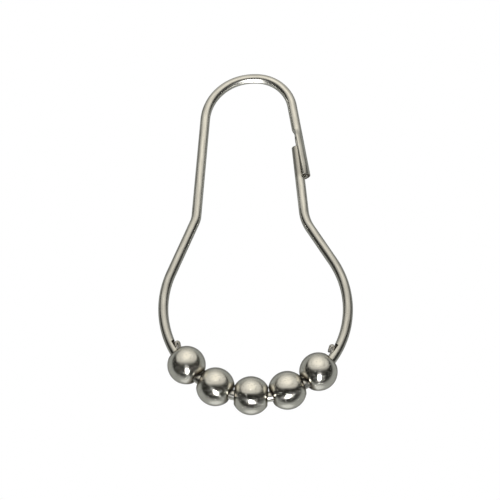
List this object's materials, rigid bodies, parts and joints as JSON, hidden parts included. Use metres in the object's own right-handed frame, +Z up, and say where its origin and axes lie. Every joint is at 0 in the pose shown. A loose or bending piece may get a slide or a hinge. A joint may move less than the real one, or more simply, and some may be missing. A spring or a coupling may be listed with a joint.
{
  "type": "shower curtain hook",
  "caption": "Pear-shaped sprung wire ring that latches in a half-pipe keeper, with steel balls threaded on its bow to roll along a curtain rod.",
  "frame": {"origin": "at the crown of the row's inner circle, on the underside of the rollers, where the top of the curtain rod touches", "axes": "the hook hangs as in use: +Z up towards the rollers, curtain loop at the bottom, +Y along the curtain rod, ring in the XZ plane with its latch on the -X side"},
  "size_m": [0.0464, 0.009, 0.0882],
  "materials": {
    "wire": "satin nickel-plated steel wire",
    "roller": "polished nickel-plated steel ball"
  },
  "bodies": {
    "ring": {"wire_ring": "wire"},
    "bead_1": {"roller_1": "roller"},
    "bead_2": {"roller_2": "roller"},
    "bead_3": {"roller_3": "roller"},
    "bead_4": {"roller_4": "roller"},
    "bead_5": {"roller_5": "roller"}
  },
  "joints": [
    {"name": "roller_1_spin", "type": "hinge", "parent": "ring", "child": "bead_1", "pos_m": [0.01621, 0, -0.00284], "axis": [0.6596, 0, -0.7516], "continuous": true},
    {"name": "roller_2_spin", "type": "hinge", "parent": "ring", "child": "bead_2", "pos_m": [0.00939, 0, 0.00235], "axis": [0.9002, 0, -0.4355], "continuous": true},
    {"name": "roller_3_spin", "type": "hinge", "parent": "ring", "child": "bead_3", "pos_m": [0.00109, 0, 0.00447], "axis": [0.9987, 0, -0.0506], "continuous": true},
    {"name": "roller_4_spin", "type": "hinge", "parent": "ring", "child": "bead_4", "pos_m": [-0.00738, 0, 0.0032], "axis": [0.9396, 0, 0.3423], "continuous": true},
    {"name": "roller_5_spin", "type": "hinge", "parent": "ring", "child": "bead_5", "pos_m": [-0.01469, 0, -0.00128], "axis": [0.7322, 0, 0.6811], "continuous": true}
  ]
}
